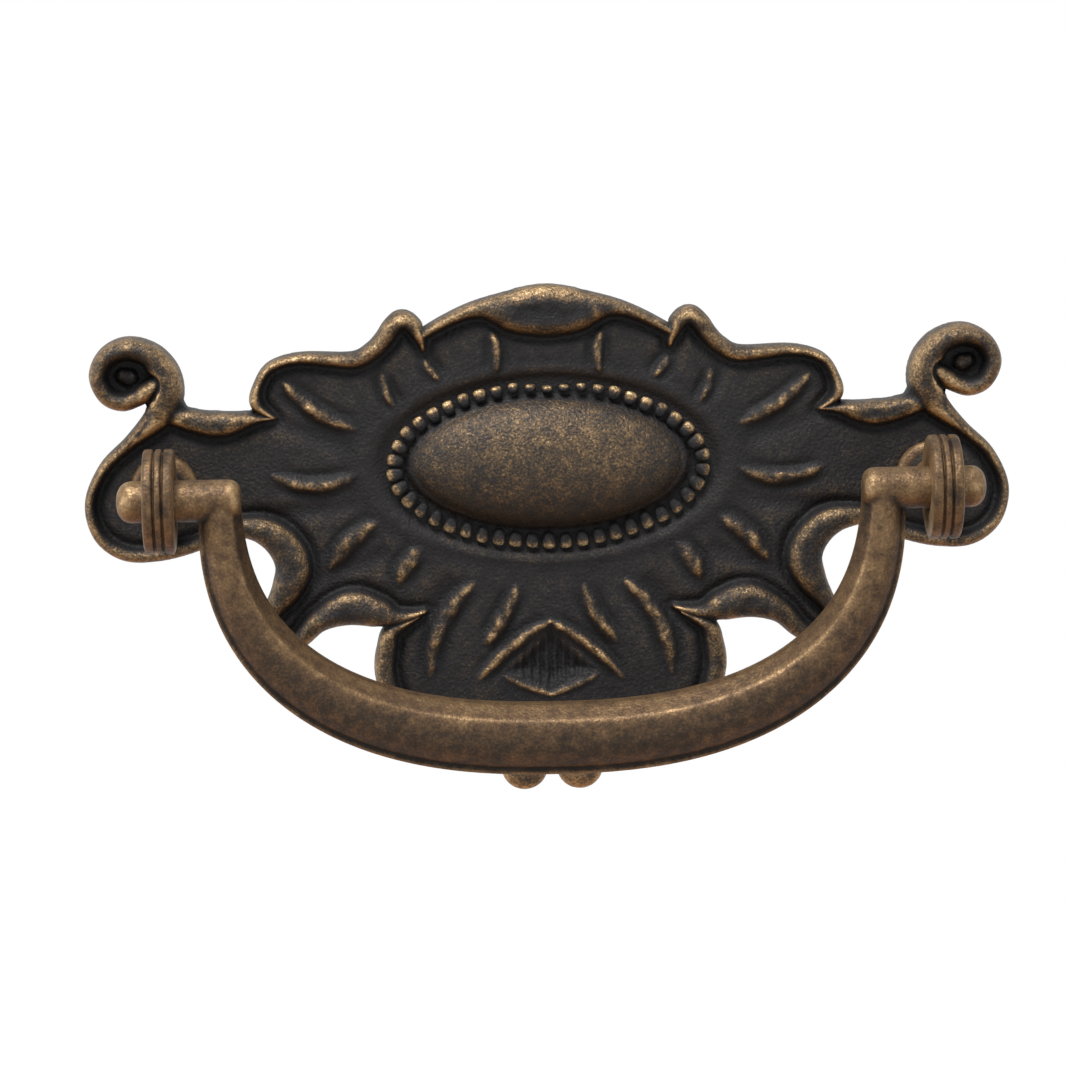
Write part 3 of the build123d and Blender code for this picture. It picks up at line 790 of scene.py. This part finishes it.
def pin_outline():
    """Half the outline of a pin: a soft step inside the leg, a straight run and a round tip."""
    inner, outer = SPAN_MM - LEG_MM / 2, POST_MM + RING_WIDTH_MM / 2 + PIN_PAST_RING_MM
    step = PIN_MM - ROOT_ROUND_MM
    line = [(inner, 0), (inner, step)]
    for turn in np.linspace(0.3, np.pi / 2, 5):
        line.append((inner + ROOT_ROUND_MM * (1 - math.cos(turn)), step + ROOT_ROUND_MM * math.sin(turn)))
    for turn in np.linspace(0, np.pi / 2 - 0.01, 12):
        line.append((outer - TIP_ROUND_MM * (1 - math.sin(turn)), PIN_MM * math.cos(turn) ** 0.8))
    return line + [(outer, 0)]


for side in (-1, 1):
    outline = [(side * along, away) for along, away in pin_outline()]
    spun(bm, outline, (0, -RING_HEIGHT_MM, 0), (1, 0, 0), (0, 0, 1), 48)
bail = as_object("bail_handle", bm)

# %% Join bar and pins in one skin
BAIL_VOXEL_MM = 0.15
BAIL_SCALES_MM, BAIL_LEVEL = ((0.3, 0.14), (0.8, 0.6)), 0.47

settle(bail, "REMESH", mode="VOXEL", voxel_size=BAIL_VOXEL_MM * MM)
low, high = (np.array(corner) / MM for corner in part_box("bail"))
put(bail, np.clip(even_out(bail, places(bail), 3), low, high))
wear = read_wear(bail, BAIL_VOXEL_MM, BAIL_SCALES_MM, BAIL_LEVEL)

# %% Where each point lies across the bar: -1 on its inner edge and 1 on its outer edge
AT_A_TIME = 20000

line = []
for angle in np.linspace(0.002, np.pi - 0.002, 161):
    middle, outward, half_width = station(angle)
    line.append((middle.x, middle.z, outward.x, outward.z, half_width))
spots = places(bail)
flat = spots[:, [0, 2]]
zone = np.zeros(len(flat))
for start in range(0, len(flat), AT_A_TIME):
    some = slice(start, start + AT_A_TIME)
    on_line, _, rest = near(np.array(line), flat[some])
    zone[some] = ((flat[some] - on_line) * rest[:, :2]).sum(1) / rest[:, 2]
print("across the bar", zone.min().round(2), "to", zone.max().round(2))

# %% Paint a highlight on the bevel along the grip and brighten the legs, paint shade on the grip's crown, and darken the groove by the lip
BAIL_TRIANGLES = 170000
BEVEL_AT, BEVEL_HALF, CROWN_AT, CROWN_HALF, LIP_FROM = -0.8, 0.28, 0.25, 0.5, 0.86

facing = -spots[:, 1] > RING_HEIGHT_MM
on_bar = np.clip(-1 - spots[:, 2], 0, 1)
on_grip = np.clip((-4 - spots[:, 2]) / 12, 0, 1)
# Painted highlight: the inner bevel is lighter along the grip, where it faces up towards the key light,
# and a little darker on the legs
bevel_highlight = facing * np.exp(-(((zone - BEVEL_AT) / BEVEL_HALF) ** 2)) * (0.26 * on_grip - 0.1)
# Painted shade: the crown of the grip's front is darker, and the front of the legs a little lighter
crown = np.exp(-(((zone - CROWN_AT) / CROWN_HALF) ** 2)) * 0.16 * on_grip
crown = facing * (crown - 0.08 * (1 - on_grip))
lip = facing * (zone > LIP_FROM) * 0.22
wear = np.clip(wear + on_bar * (bevel_highlight - crown - lip) + 0.06 * (1 - on_bar), 0, 1)
store(bail, "wear", wear)
settle(bail, "DECIMATE", ratio=min(1, BAIL_TRIANGLES / (2 * len(bail.data.polygons))))
finish_piece(bail, "bail", "fitting_brass", "bail")

# %% [markdown]
# ## Antiqued brass
# Antiqued brass is yellow brass darkened with a chemical patina, then rubbed back so that the
# metal shows again where hands and cloths reach. To the eye the recesses are charcoal and
# nearly matt, the edges are tan and have a soft shine, and a fine speckle lies over both where
# the patina breaks up. The wear stored on each vertex says where the cloth reached, with painted
# light on the dome and on the bail's grip, and noise in three sizes breaks its edge. Faces that
# point down are multiplied by a warm brown, a painted warm shade. One function makes both
# finishes, because the plate and the fittings differ only in how much of
# the patina was rubbed away.

# %% Nodes and colours
def linear(code):
    """A colour written as sRGB hex, turned to the linear values that a shader works in."""
    parts = [int(code[place:place + 2], 16) / 255 for place in (0, 2, 4)]
    return [part / 12.92 if part <= 0.04045 else ((part + 0.055) / 1.055) ** 2.4 for part in parts] + [1]


def add(tree, kind, inputs=None, **settings):
    """Adds a node. An input is a value, or the output socket that feeds it."""
    node = tree.nodes.new(kind)
    for key, value in settings.items():
        setattr(node, key, value)
    for key, value in (inputs or {}).items():
        if isinstance(value, bpy.types.NodeSocket):
            tree.links.new(value, node.inputs[key])
        else:
            node.inputs[key].default_value = value
    return node


# %% How far the patina is rubbed at each point
SPECKLE_MM, BLOTCH_MM, CLOUD_MM = 0.24, 1.2, 5.0


def rubbed_level(tree, spot, shares):
    """The stored wear, broken up by noise: 0 is full patina and 1 is bare metal."""
    level = add(tree, "ShaderNodeAttribute", attribute_name="wear").outputs["Fac"]
    for size_mm, share, detail in zip((SPECKLE_MM, BLOTCH_MM, CLOUD_MM), shares, (4, 3, 2)):
        grain = add(tree, "ShaderNodeTexNoise", {
            "Vector": spot, "Scale": 1 / (size_mm * MM), "Detail": detail, "Roughness": 0.6,
        })
        level = add(tree, "ShaderNodeMath", {
            0: grain.outputs["Fac"], 1: share, 2: level,
        }, operation="MULTIPLY_ADD").outputs[0]
    return add(tree, "ShaderNodeMath", {0: level, 1: sum(shares) / 2}, operation="SUBTRACT").outputs[0]


def patina_and_shade_colour(tree, level, colours):
    """The colour at this level, multiplied by a warm brown on undersides as painted warm shade."""
    ramp = add(tree, "ShaderNodeValToRGB", {"Fac": level})
    stops = ramp.color_ramp.elements
    stops[0].position, stops[0].color = colours[0][0], linear(colours[0][1])
    stops[1].position, stops[1].color = colours[-1][0], linear(colours[-1][1])
    for place, code in colours[1:-1]:
        stops.new(place).color = linear(code)
    # Painted warm shade: faces that point down are multiplied by a warm brown
    under = add(tree, "ShaderNodeAttribute", attribute_name="underside_shade").outputs["Fac"]
    return add(tree, "ShaderNodeMix", {
        0: under, 6: ramp.outputs["Color"], 7: linear("F9CE9D"),
    }, data_type="RGBA", blend_type="MULTIPLY").outputs[2]


# %% The finish
GRIT_MM = 0.3
# The levels between which full patina turns into bare metal
PATINA, BARE = 0.3, 0.9
PATINA_METAL, BARE_METAL = 0.1, 0.7
PATINA_ROUGHER = 0.14


def antiqued_brass(name, colours, shares, shine, grain_mm):
    """Brass under a rubbed patina.

    shares says how much speckles, blotches and clouds count, shine is the roughness of bare
    metal, and grain_mm how rough it is cast.
    """
    material = bpy.data.materials.new(name)
    material.use_nodes = True
    tree = material.node_tree
    tree.nodes.clear()
    spot = add(tree, "ShaderNodeTexCoord").outputs["Object"]
    level = rubbed_level(tree, spot, shares)
    metal = add(tree, "ShaderNodeMapRange", {
        "Value": level, "From Min": PATINA, "From Max": BARE,
        "To Min": PATINA_METAL, "To Max": BARE_METAL,
    })
    rough = add(tree, "ShaderNodeMapRange", {
        "Value": level, "From Min": PATINA, "From Max": BARE,
        "To Min": shine + PATINA_ROUGHER, "To Max": shine,
    })
    grit = add(tree, "ShaderNodeTexNoise", {"Vector": spot, "Scale": 1 / (GRIT_MM * MM), "Detail": 3})
    bump = add(tree, "ShaderNodeBump", {
        "Height": grit.outputs["Fac"], "Strength": 0.8, "Distance": grain_mm * MM,
    })
    shader = add(tree, "ShaderNodeBsdfPrincipled", {
        "Base Color": patina_and_shade_colour(tree, level, colours), "Metallic": metal.outputs[0],
        "Roughness": rough.outputs[0], "Normal": bump.outputs["Normal"], "Specular IOR Level": 0.18,
    })
    add(tree, "ShaderNodeOutputMaterial", {"Surface": shader.outputs["BSDF"]})
    return material


# %% Two sets of colours, from full patina to bare metal
PLATE_COLOURS = [
    (0.15, "171617"), (0.42, "232122"), (0.56, "322E2B"), (0.68, "4C3F31"), (0.84, "7A6449"),
    (1.0, "A68C68"),
]
FITTING_COLOURS = [
    (0.15, "1B1714"), (0.38, "33281E"), (0.56, "4E3C2B"), (0.78, "6C563D"), (1.0, "907757"),
]
PLATE_PIECES = ("backplate", "backplate_casting", "bead_ring")

plate_finish = antiqued_brass("antiqued_brass_casting", PLATE_COLOURS, (0.8, 0.34, 0.22), 0.42, 0.2)
fitting_finish = antiqued_brass("antiqued_brass_rubbed", FITTING_COLOURS, (0.65, 0.7, 0.35), 0.44, 0.09)
for piece in bpy.data.objects:
    if piece.type == "MESH":
        piece.data.materials.clear()
        piece.data.materials.append(plate_finish if piece.name in PLATE_PIECES else fitting_finish)
print("materials", [material.name for material in bpy.data.materials])

# %% [markdown]
# ## Stage, light and camera
# A catalogue photograph of hardware is lit by a large soft light above and cut out on white.
# The floor lies below the picture and keeps the pull's shadow. White comes from what the camera
# and the reflections see of the world and floor, not from more light on the brass.

# %% The world
WORLD_STRENGTH = 0.22


def white_share(tree):
    """1 for the rays that show the background as white: camera, glossy and transmission rays."""
    path = add(tree, "ShaderNodeLightPath")
    seen = add(tree, "ShaderNodeMath", {
        0: path.outputs["Is Camera Ray"], 1: path.outputs["Is Glossy Ray"],
    }, operation="ADD")
    return add(tree, "ShaderNodeMath", {
        0: seen.outputs[0], 1: path.outputs["Is Transmission Ray"],
    }, operation="ADD", use_clamp=True).outputs[0]


world = bpy.data.worlds.new("studio")
bpy.context.scene.world = world
world.use_nodes = True
tree = world.node_tree
tree.nodes.clear()
strength = add(tree, "ShaderNodeMapRange", {
    "Value": white_share(tree), "To Min": WORLD_STRENGTH, "To Max": 1.0,
})
sky = add(tree, "ShaderNodeBackground", {"Color": linear("FFFFFF"), "Strength": strength.outputs[0]})
add(tree, "ShaderNodeOutputWorld", {"Surface": sky.outputs[0]})

# %% The floor
FLOOR_RADIUS, FLOOR_DROP = 0.3, 0.09
FADE_FROM, FADE_TO, FADE_START = 0.1, 0.17, 0.6

bm = bmesh.new()
below = Matrix.Translation((0, 0, -FLOOR_DROP))
bmesh.ops.create_circle(bm, cap_ends=True, segments=96, radius=FLOOR_RADIUS, matrix=below)
floor = as_object("studio_floor", bm)
paper = bpy.data.materials.new("white_paper")
paper.use_nodes = True
tree = paper.node_tree
tree.nodes.clear()
matt = add(tree, "ShaderNodeBsdfDiffuse", {"Color": linear("F4F4F4")})
glow = add(tree, "ShaderNodeEmission", {"Color": linear("FFFFFF")})
spot = add(tree, "ShaderNodeTexCoord").outputs["Object"]
far = add(tree, "ShaderNodeVectorMath", {0: spot}, operation="LENGTH").outputs["Value"]
fade = add(tree, "ShaderNodeMapRange", {
    "Value": far, "From Min": FADE_FROM, "From Max": FADE_TO, "To Min": FADE_START, "To Max": 1.0,
})
share = add(tree, "ShaderNodeMath", {0: white_share(tree), 1: fade.outputs[0]}, operation="MULTIPLY")
both = add(tree, "ShaderNodeMixShader", {0: share.outputs[0], 1: matt.outputs[0], 2: glow.outputs[0]})
add(tree, "ShaderNodeOutputMaterial", {"Surface": both.outputs[0]})
floor.data.materials.append(paper)

# %% Lights
def soft_light(name, place, size, power):
    """A square lamp aimed at the pull."""
    lamp = bpy.data.lights.new(name, "AREA")
    lamp.energy, lamp.size = power, size
    holder = bpy.data.objects.new(name, lamp)
    holder.location = place
    holder.rotation_euler = (-Vector(place)).to_track_quat("-Z", "Y").to_euler()
    bpy.context.scene.collection.objects.link(holder)


soft_light("key_above", (-0.14, -0.26, 0.55), 0.3, 6.5)
soft_light("fill_right", (0.5, -0.5, 0.12), 0.4, 0.8)
soft_light("rim_left", (-0.6, -0.1, 0.08), 0.25, 1.8)

# %% Camera
# Where the model's origin shows in the photograph, and where the camera looks, in its pixels
PICTURE_PIXELS, POSTS_APART_PIXELS = 1066, 766.3
ORIGIN_PIXEL, AIM_PIXEL = (549.5, 480.35), (533, 531)
PIXEL = 2 * POST_MM * MM / POSTS_APART_PIXELS
DISTANCE, AZIMUTH, ELEVATION, ROLL = 0.416, math.radians(-2), math.radians(8), math.radians(-0.85)
RIM_DEPTH, SENSOR = 0.003, 36

right, down = (there - here for here, there in zip(ORIGIN_PIXEL, AIM_PIXEL))
aim = Vector((right * PIXEL, -RIM_DEPTH, -down * PIXEL))
away = Vector((
    math.sin(AZIMUTH) * math.cos(ELEVATION), -math.cos(AZIMUTH) * math.cos(ELEVATION), math.sin(ELEVATION),
))
lens = bpy.data.cameras.new("camera")
camera = bpy.data.objects.new("camera", lens)
bpy.context.scene.collection.objects.link(camera)
camera.location = aim + away * DISTANCE
turn = away.to_track_quat("Z", "Y").to_matrix() @ Matrix.Rotation(ROLL, 3, "Z")
camera.rotation_euler = turn.to_euler()
lens.sensor_width = SENSOR
lens.lens = SENSOR * DISTANCE / (PICTURE_PIXELS * PIXEL)
lens.clip_start = 0.01
bpy.context.scene.camera = camera
bpy.context.scene.view_settings.view_transform = "Standard"
